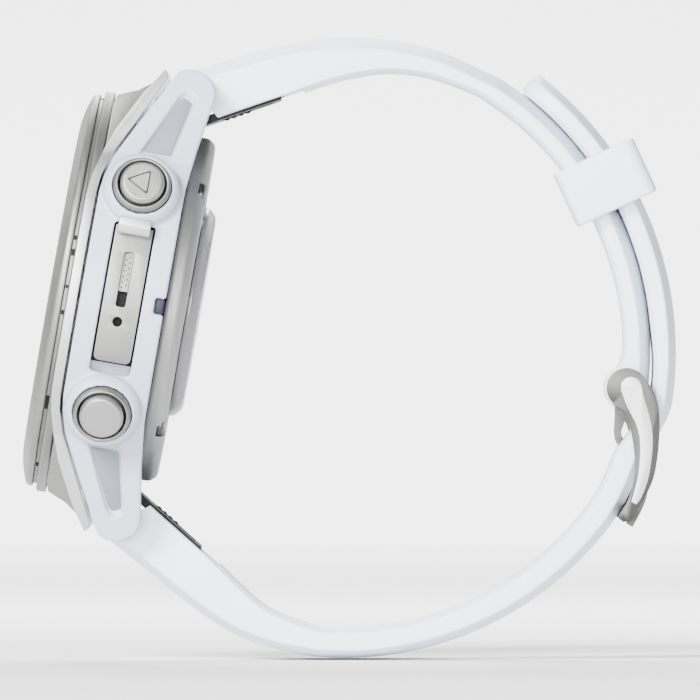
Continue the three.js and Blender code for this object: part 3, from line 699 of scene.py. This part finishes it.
def make_back():
    cover = turned("cover", [(10.3, 6.3), (18.5, 6.3, 0.2), (18.8, 6.6, 0.2), (18.8, 7.7, 0.4),
                             (18.1, 8.5, 0.4),
                             (10.35, 8.5, 0.15)], 256, 6)
    screws = [(17.7 * math.cos(a * DEG), 17.7 * math.sin(a * DEG)) for a in (45, 135, 225, 315)]
    cutters = []
    for y, z in screws:
        seat = turned("seat", [(0, 7.6), (1.3, 7.6), (1.3, 9.5), (0, 9.5)], 48, 1)
        bore = turned("bore", [(0, 6), (0.75, 6), (0.75, 9), (0, 9)], 32, 1)
        for tool in (seat, bore):
            tool.data.transform(Matrix.Translation((0, y, z)))
            cutters.append(tool)
    cutters.append(box("port_well", (6.8, -3.8, -16.2), (9, 3.8, -13.0)))
    combine(cover, cutters)
    bevelled(cover, 0.08, 2, 40)
    hand_over(cover, CASE_PLACE, "case", cover_spun, ["back_cover"], 40)
    for i, (y, z) in enumerate(screws):
        head = turned("head", [(0, 4.0), (0.6, 4.0, 0.1), (0.6, 7.7), (1.15, 7.7, 0.08), (1.15, 8.25, 0.2),
                               (0, 8.42)], 64)
        star = prism("star", [polar((0, 0), 0.62 if k % 2 else 0.42, k * 30 * DEG) for k in range(12)], 7.95,
                     9, "X")
        combine(head, [star])
        head.data.transform(Matrix.Translation((0, y, z)))
        head.name = f"cover_screw_{i + 1}"
        hand_over(head, CASE_PLACE, "case", dark_steel, [f"back_screw_{i + 1}"], 30)
    dome = turned("sensor_dome", [(0, 7.2), (10.0, 7.2), (10.0, 8.6), (SENSOR_R, 8.6, 0.1),
                                  (SENSOR_R, 9.05, 0.4),
                                  (10.5, 9.95, 1.4), (0, 9.95)], 192, 8)
    eyes = []
    for k in range(6):
        y, z = polar((0, 0), 5.6, (90 + 60 * k) * DEG)
        eye = turned("eye", [(0, 9.55), (1.35, 9.55), (1.35, 10.2), (0, 10.2)], 48, 1)
        eye.data.transform(Matrix.Translation((0, y, z)))
        eyes.append(eye)
    middle = turned("eye", [(0, 9.55), (2.6, 9.55), (2.6, 10.2), (0, 10.2)], 64, 1)
    combine(dome, eyes + [middle])
    hand_over(dome, CASE_PLACE, "case", sensor_glass, ["sensor_window"], 30)
    windows = []
    for k in range(6):
        y, z = polar((0, 0), 5.6, (90 + 60 * k) * DEG)
        window = turned("window", [(0, 9.5), (1.3, 9.5), (1.3, 9.86, 0.05), (0, 9.86)], 48, 3)
        window.data.transform(Matrix.Translation((0, y, z)))
        windows.append(window)
    hand_over(joined("sensor_eyes", windows), CASE_PLACE, "case", led_dark)
    leds = turned("sensor_light", [(0, 9.5), (2.54, 9.5), (2.54, 9.86, 0.05), (0, 9.86)], 64, 3)
    hand_over(leds, CASE_PLACE, "case", led_green)
    port = box("port_block", (7.0, -3.6, -16.0), (8.3, 3.6, -13.2))
    well = box("socket", (7.7, -3.1, -15.5), (9, 3.1, -13.7))
    combine(port, [well])
    bevelled(port, 0.1, 2)
    hand_over(port, CASE_PLACE, "case", black_polymer, ["charging_port"])
    pins = [box("contact", (7.5, -2.2 + 1.3 * k, -14.9), (8.0, -1.7 + 1.3 * k, -14.3)) for k in range(4)]
    hand_over(joined("port_contacts", pins), CASE_PLACE, "case", weight_brass)


# ---------------------------------------------------------------- band

def along(pin, angle, turn, s, t):
    cos, sin = math.cos(angle), math.sin(angle)
    return (pin[0] + s * cos - turn * t * sin, pin[1] + s * sin + turn * t * cos)


def upper_end(s, t):
    return along(UPPER_PIN, UPPER_ANGLE, 1, s, t)


def lower_end(s, t):
    return along(LOWER_PIN, LOWER_ANGLE, -1, s, t)


def band_section(half, thick, crown, inner_edge):
    """Across the band: y, and t from the inner face; the outer face slopes off toward both edges."""
    crown = min(crown, thick * 0.45)
    slope = min(4.6 * crown, half * 0.5)
    inner_edge = min(inner_edge, thick * 0.2, half * 0.3)
    return filleted([(-half, inner_edge, 0.1), (-half, thick - crown, 0.3), (-half + slope, thick, 1.2),
                     (half - slope, thick, 1.2), (half, thick - crown, 0.3), (half, inner_edge, 0.1),
                     (half - 1.6 * inner_edge, 0, 0.2), (-half + 1.6 * inner_edge, 0, 0.2)], 4)


def band_sweep(name, stations, crown):
    """Stations are (inner x, inner z, outer x, outer z, half width)."""
    rings = []
    for xi, zi, xo, zo, half in stations:
        thick = math.hypot(xo - xi, zo - zi)
        nx, nz = (xo - xi) / thick, (zo - zi) / thick
        rings.append([(xi + nx * t, y, zi + nz * t) for y, t in band_section(half, thick, crown, 0.45)])
    return loft(name, rings)


def end_hollow(end):
    """Tools for a lug end of the band: room about the pin, and a pocket for the plate between two cheeks."""
    pin_room = [(-4, 2.4)] + arc((0, 0), 2.4, 90 * DEG, -42 * DEG, 20)
    pin_room += [(2.2, -2.95), (12.0, -2.95), (12.0, -7), (-4, -7)]
    plate_room = [(0, -2.05), (9.7, -2.05), (9.7, -5), (0, -5)]
    return [prism("pin_room", [end(s, t) for s, t in pin_room], -15, 15),
            prism("plate_room", [end(s, t) for s, t in plate_room], -9.4, 9.4)]


def band_half(x):
    """Half the band's width, from the lugs to the buckle part."""
    return 10.0 - smoothstep(-10, 14, x) - 0.02


def make_buckle_strap():
    pairs = [((-16.6, 57.0), (-18.3, 62.9)), ((-14.9, 57.67), (-16.2, 63.6)), ((-11.2, 59.0), (-12.2, 64.75)),
             ((-7.4, 60.2), (-7.8, 66.0)), ((-3.4, 61.65), (-3.5, 66.75)), ((0.4, 62.65), (0.8, 66.93)),
             ((4.2, 63.1), (5.2, 66.45)), ((8.6, 62.55), (9.8, 65.3))]
    for step in range(2):
        angle = (60 - 3 * step) * DEG
        pairs.append((polar(UPPER_CENTRE, 32.1, angle), polar(UPPER_CENTRE, 34.78 + 0.15 * step, angle)))
    stations = [(*p, band_half(p[2])) for p in through([inner + outer for inner, outer in pairs], 5)]
    bar_radius = math.hypot(BAR[0] - UPPER_CENTRE[0], BAR[1] - UPPER_CENTRE[1])
    bar_angle = math.atan2(BAR[1] - UPPER_CENTRE[1], BAR[0] - UPPER_CENTRE[0])
    length = (57 * DEG - bar_angle) * bar_radius
    steps = 150
    for i in range(1, steps + 1):
        d = length - (length + LOOP_R * 0.985) * i / steps
        angle = bar_angle + d / bar_radius
        bulge = math.sqrt(max(0.02, LOOP_R ** 2 - d * d)) if d < LOOP_R else 0
        fade = 1.6 * math.exp(-max(0.0, d - 1.9) / 0.9) if d > 0 else 0
        inner_depth = max(bar_radius - 32.1, 0) if d > 0 else 0
        outer_depth = 34.93 - bar_radius if d > 0 else 0
        inner_depth = max(inner_depth + (fade if d > LOOP_R * 0.8 else 0) * 0.6, bulge)
        outer_depth = max(outer_depth, bulge)
        stations.append((*polar(UPPER_CENTRE, bar_radius - inner_depth, angle),
                         *polar(UPPER_CENTRE, bar_radius + outer_depth, angle), 8.98))
    strap = band_sweep("strap_upper", stations, 1.15)
    notch = rod("notch", BAR[0], BAR[1], LOOP_R + 0.4, -1.5, 1.5, 0)
    bore = rod("bore", BAR[0], BAR[1], BAR_R + 0.25, -20, 20, 0)
    combine(strap, end_hollow(upper_end) + [notch, bore])
    hand_over(strap, ROW_PLACE, "band", silicone, ["buckle_strap"], 45)


def strap_hole(angle, length):
    """An oval cutter through the band with a flared rim at both faces."""
    inner, outer = (33.0, 36.2) if angle < -24 * DEG else (35.0, 37.7)
    if -20 * DEG < angle < -8 * DEG:
        inner, outer = 33.4, 36.6
    flare = 0.35
    profile = [(0, inner - 3), (1.25 + flare, inner - 3), (1.25 + flare, inner - 0.02), (1.25, inner + flare),
               (1.25, outer - flare), (1.25 + flare, outer + 0.02), (1.25 + flare, outer + 3), (0, outer + 3)]
    hole = turned("hole", profile, 40, 1)
    hole.data.transform(Matrix.Scale(length / 2.5, 4, (0, 0, 1)))
    hole.data.transform(Matrix.Translation((UPPER_CENTRE[0], 0, UPPER_CENTRE[1])) @ Matrix.Rotation(-angle,
                                                                                                    4, "Y"))
    return hole


def make_hole_strap():
    pairs = [((-21.9, 17.1), (-28.1, 14.6)), ((-20.4, 15.8), (-25.6, 12.3)), ((-18.0, 13.6), (-22.4, 9.75)),
             ((-15.3, 11.2), (-18.2, 6.35)), ((-12.0, 7.9), (-14.0, 3.35)), ((-8.7, 5.25), (-9.5, 1.32))]
    for angle in (-95, -90):
        pairs.append((polar(LOWER_CENTRE, 32.8, angle * DEG), polar(LOWER_CENTRE, 35.97, angle * DEG)))
    stations = [(*p, band_half(p[2])) for p in through([inner + outer for inner, outer in pairs], 6)]
    for i in range(1, 37):
        angle = (-90 + 1.5 * i) * DEG
        stations.append((*polar(LOWER_CENTRE, 32.8, angle), *polar(LOWER_CENTRE, 36.0, angle),
                         band_half(polar(LOWER_CENTRE, 36, angle)[0])))
    steps = 96
    tip_length = 5.0
    for i in range(1, steps + 1):
        angle = -28 * DEG + (TAIL_TIP + 27.95 * DEG) * (i / steps) ** 0.92
        rise = smoothstep(-20 * DEG, -8 * DEG, angle)
        settle_in = smoothstep(-4 * DEG, 6 * DEG, angle)
        inner = 32.9 + (35.3 - 32.9) * rise - 0.3 * settle_in
        outer = 36.05 + (37.7 - 36.05) * rise
        left = (TAIL_TIP - angle) * 36.3
        half = 8.98
        if left < tip_length:
            half = 4.2 + 4.78 * math.sqrt(max(0, 1 - ((tip_length - left) / tip_length) ** 2))
        if left < 0.8:
            round_off = 0.8 - math.sqrt(max(0, 0.64 - (0.8 - left) ** 2))
            inner += round_off
            outer -= round_off
        stations.append((*polar(UPPER_CENTRE, inner, angle), *polar(UPPER_CENTRE, outer, angle), half))
    strap = band_sweep("strap_lower", stations, 0.85)
    holes = [strap_hole(TONGUE_HOLE + (i - 2) * HOLE_PITCH, 5.0 if i == 2 else 3.2) for i in range(9)]
    combine(strap, holes + end_hollow(lower_end))
    hand_over(strap, ROW_PLACE, "band", silicone, ["hole_strap"], 45)


def make_release(word, end):
    ring = rod("hook", *end(0, 0), 2.1, -9.2, 9.2, 0.15, 64)
    plate = prism("plate", [end(s, t) for s, t in filleted([(0.35, -3.25, 0.2), (9.4, -3.25, 0.3),
                                                            (9.4, -2.35, 0.3),
                                                            (1.4, -2.35), (1.4, -1.2), (0.35, -1.2)])], -9.2,
                                                            9.2)
    mouth = prism("mouth", [end(s * 1.1, t * 1.1) for s, t in
                            [(0.49, 0.88), (-0.49, -0.88), (-3.1, 0.57), (-2.1, 2.32)]], -20, 20)
    bore = rod("bore", *end(0, 0), 1.2, -20, 20, 0)
    window = prism("window", [end(s, t) for s, t in [(2.6, -4), (8.4, -4), (8.4, -1.5), (2.6, -1.5)]], -3.3,
                   3.3)
    combine(ring, [plate], "UNION")
    combine(ring, [bore, mouth, window])
    bevelled(ring, 0.12, 2, 40)
    ring.name = f"{word}_clip"
    hand_over(ring, ROW_PLACE, "band", black_polymer, [f"{word}_release_hook"], 40)
    wave = [(2.8, -2.35), (2.8, -3.33)]
    for k in range(4):
        wave += [(3.1 + 0.8 * k, -3.48), (3.5 + 0.8 * k, -3.32)]
    wave += [(6.5, -3.3), (6.5, -2.35)]
    slider = prism("slider", [end(s, t) for s, t in wave], -2.98, 2.98)
    bevelled(slider, 0.08, 2, 25)
    slider.name = f"{word}_latch_slider"
    hand_over(slider, ROW_PLACE, f"{word}_latch", black_polymer, [f"{word}_release_latch"],
              40)


def make_keeper():
    outer = filleted([(-4.63, -10.78, 1.1), (4.63, -10.78, 1.6), (4.63, 10.78, 1.6), (-4.63, 10.78, 1.1)], 8)
    inner = filleted([(31.45 - 35.2, -9.35, 0.6), (38.45 - 35.2, -9.35, 0.6),
                      (38.45 - 35.2, 9.35, 0.6), (31.45 - 35.2, 9.35, 0.6)], 8)
    ring = prism("keeper_ring", outer, -3.14, 3.14, "Z")
    combine(ring, [prism("inside", inner, -5, 5, "Z")])
    bevelled(ring, 0.3, 4, 50)
    angle = 31.3 * DEG
    x, z = polar(UPPER_CENTRE, 35.2, angle)
    place = Matrix.Translation((x, 0, z)) @ Matrix.Rotation(6.5 * DEG - angle, 4, "Y")
    hand_over(ring, place, "keeper_loop", silicone, ["keeper"], 50)


# ---------------------------------------------------------------- buckle

ARM_INNER = 9.35
ARM_OUTER = 11.15


def make_buckle():
    bar = rod("bar", *BAR, BAR_R, -10.85, 10.85, 0.2)
    hand_over(bar, ROW_PLACE, "band", dark_steel, ["buckle_bar"])
    outer = through([(31.3, 30.55), (32.77, 28.0), (33.12, 24.5), (32.57, 19.8), (31.17, 16.75),
                     (29.7, 14.8)], 8)
    inner = through([(29.25, 16.0), (30.13, 18.3), (30.48, 21.0), (30.03, 24.5), (29.2, 26.3), (28.1, 27.4)],
                    8)
    outline = outer + [(29.22, 14.7), (28.65, 15.22)] + inner
    frame_body = prism("buckle_body", outline, -ARM_OUTER + 0.1, ARM_OUTER - 0.1)
    combine(frame_body, [rod("head", *BAR, 2.17, -ARM_OUTER + 0.1, ARM_OUTER - 0.1, 0, 64)], "UNION")
    opening = prism("opening", [(20, 0), (40, 0), (40, 40), (20, 40)], -ARM_INNER, ARM_INNER)
    limit = [polar(UPPER_CENTRE, r, a * DEG) for r, a in ((37.9, -27), (37.9, -33), (36.3, -33), (36.4, -27))]
    crossbar = prism("crossbar", outline, -ARM_INNER - 0.5, ARM_INNER + 0.5)
    combine(crossbar, [prism("limit", limit, -20, 20)], "INTERSECT")
    combine(frame_body, [rod("eye", *BAR, BAR_R + 0.25, -10.88, 10.88, 0, 48), opening])
    combine(frame_body, [crossbar], "UNION")
    rest = prism("rest", [polar(UPPER_CENTRE, r, a * DEG) for r,
                          a in ((38.6, -24), (38.6, -34), (37, -34), (37, -24))],
                 -1.2, 1.2)
    combine(frame_body, [rest])
    bevelled(frame_body, 0.55, 3, 50)
    frame_body.name = "buckle_arms"
    # The frame's steel is darkened, painted shade; only its outer faces are lighter, painted highlight.
    hand_over(frame_body, ROW_PLACE, "buckle", buckle_steel, ["buckle_frame"], 30)
    spine = through([(30.05, 29.2, 1.1), (30.5, 27.65, 1.0), (31.4, 25.3, 0.78), (31.7, 23.0, 0.66),
                     (31.42, 19.9, 0.56), (30.8, 17.7, 0.46), (30.35, 16.75, 0.3)], 6)
    left, right = [], []
    for i, (x, z, half) in enumerate(spine):
        x0, z0, _ = spine[max(i - 1, 0)]
        x1, z1, _ = spine[min(i + 1, len(spine) - 1)]
        step = math.hypot(x1 - x0, z1 - z0)
        across = ((z1 - z0) / step, (x0 - x1) / step)
        left.append((x + across[0] * half, z + across[1] * half))
        right.append((x - across[0] * half, z - across[1] * half))
    crest = arc((30.05, 29.2), 1.1, 16 * DEG, 164 * DEG, 10)
    # Thin plates on the arms' outer sides, in the lighter steel: the flat faces' painted highlight against
    # the darkened frame.
    for side, word in ((-1, "right"), (1, "left")):
        low, high = sorted((side * (ARM_OUTER - 0.25), side * ARM_OUTER))
        face = prism("face", right + left[::-1], low, high)
        combine(face, [prism("crest", crest + arc((30.05, 29.2), 1.1, 196 * DEG, 344 * DEG, 10), low, high)],
                "UNION")
        bevelled(face, 0.05, 2, 50)
        face.name = f"{word}_arm_highlight_face"
        hand_over(face, ROW_PLACE, "buckle", painted_highlight_steel, [], 40)

    middle = [(31.8, -9), (32.25, -12), (32.8, -16.2), (34.5, -18.4), (36.6, -20.8), (37.58, -24.6),
              (37.68, -29.8)]
    near, far = [], []
    for i, (radius, angle) in enumerate(middle):
        steep = 1 < i < 5
        half, lean = (0.28, 0.6) if steep else (0.42, 0)
        root = 0.5 if i < 2 else 0
        near.append(polar(UPPER_CENTRE, radius - half, (angle - lean) * DEG))
        far.append(polar(UPPER_CENTRE, radius + root + half, (angle + lean) * DEG))
    finger = prism("finger", through(far, 6) + through(near, 6)[::-1], -0.88, 0.88)
    barrel = rod("barrel", *BAR, 1.87, -1.18, 1.18, 0, 64)
    combine(barrel, [finger], "UNION")
    combine(barrel, [rod("eye", *BAR, BAR_R + 0.25, -5, 5, 0, 48)])
    bevelled(barrel, 0.14, 3, 45)
    barrel.name = "tongue_finger"
    hand_over(barrel, ROW_PLACE, "tongue", dark_steel, ["buckle_tongue"], 35)


# ---------------------------------------------------------------- inside and stage

INSIDE = {
    "lens_gasket": seal_rubber, "back_gasket": seal_rubber, "sensor_board": board_green,
    "main_board": board_green,
    "battery": cell_foil, "speaker": black_polymer, "vibration_motor": case_steel,
    "eccentric_weight": weight_brass,
}


def dress_inside():
    for name in BUTTONS:
        INSIDE[f"{name}_seal"] = seal_rubber
        INSIDE[f"{name}_switch"] = black_polymer
    for node, material in INSIDE.items():
        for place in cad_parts[node].material_slots:
            place.material = material


def area_light(name, place, target, size, power, color=(1, 1, 1)):
    data = bpy.data.lights.new(name, "AREA")
    data.shape = "RECTANGLE"
    data.size, data.size_y = size
    data.energy = power
    data.color = color
    lamp = bpy.data.objects.new(name, data)
    lamp.location = place
    lamp.rotation_euler = (Vector(target) - Vector(place)).to_track_quat("-Z", "Y").to_euler()
    bpy.context.collection.objects.link(lamp)


# The stage, in metres: how far it reaches, its grid, and where it starts to rise and how slowly.
SWEEP_REACH = 4.0
SWEEP_STEP = 0.1
SWEEP_FLAT = 1.7
SWEEP_SPREAD = 6.0


def sweep_rise(along):
    """Height of the sweep, in metres, at a distance from the middle."""
    return max(0.0, along - SWEEP_FLAT) ** 2 / SWEEP_SPREAD


def make_stage():
    """A pale sweep: a flat floor that rises gently at the back and on the left."""
    places = [i * SWEEP_STEP - SWEEP_REACH for i in range(int(2 * SWEEP_REACH / SWEEP_STEP) + 1)]
    count = len(places)
    verts = [(x, y, sweep_rise(y) + sweep_rise(-x)) for y in places for x in places]
    faces = [(r * count + c, r * count + c + 1, (r + 1) * count + c + 1, (r + 1) * count + c)
             for r in range(count - 1) for c in range(count - 1)]
    mesh = bpy.data.meshes.new("sweep")
    mesh.from_pydata(verts, [], faces)
    sweep = bpy.data.objects.new("sweep", mesh)
    sweep.location.z = -0.0002
    bpy.context.collection.objects.link(sweep)
    material, tree, surface = shader("sweep_paper", (0.93, 0.93, 0.93), 0.85)
    paper = noise(tree, place_texture(tree, (1, 1, 1)), 300, 3)
    tree.links.new(graded(tree, paper, (0.92, 0.92, 0.92), (0.94, 0.94, 0.94)), surface.inputs["Base Color"])
    mesh.materials.append(material)
    mesh.shade_smooth()
    world = bpy.data.worlds.new("studio")
    world.use_nodes = True
    world.node_tree.nodes["Background"].inputs["Color"].default_value = (0.93, 0.96, 1.0, 1)
    world.node_tree.nodes["Background"].inputs["Strength"].default_value = 0.05
    bpy.context.scene.world = world
    middle = (0, 0, 0.034)
    area_light("key", (-0.75, -1.2, 0.75), middle, (0.5, 0.5), 85)
    area_light("front", (-0.06, -1.5, 0.10), middle, (0.8, 0.7), 60)
    area_light("floor", (0, 0.35, 0.16), (0, 0.34, 0), (0.7, 0.35), 2.6)
    area_light("rear", (0, 1.75, 0.9), (0, 1.76, 0), (0.8, 1.9), 75)


def make_camera():
    data = bpy.data.cameras.new("camera")
    data.lens = 1000
    data.sensor_width = 36
    data.clip_end = 20
    camera = bpy.data.objects.new("camera", data)
    camera.location = (-0.00016, -2.101, 0.0332)
    camera.rotation_euler = (90 * DEG, 0, 0)
    bpy.context.collection.objects.link(camera)
    bpy.context.scene.camera = camera


make_camera()
make_dial_end()
make_dial()
make_body()
for flank in (1, -1):
    make_guard(flank)
    make_lug_frame(flank)
make_speaker()
make_buttons()
make_back()
make_buckle_strap()
make_hole_strap()
make_release("upper", upper_end)
make_release("lower", lower_end)
make_keeper()
make_buckle()
dress_inside()
make_stage()
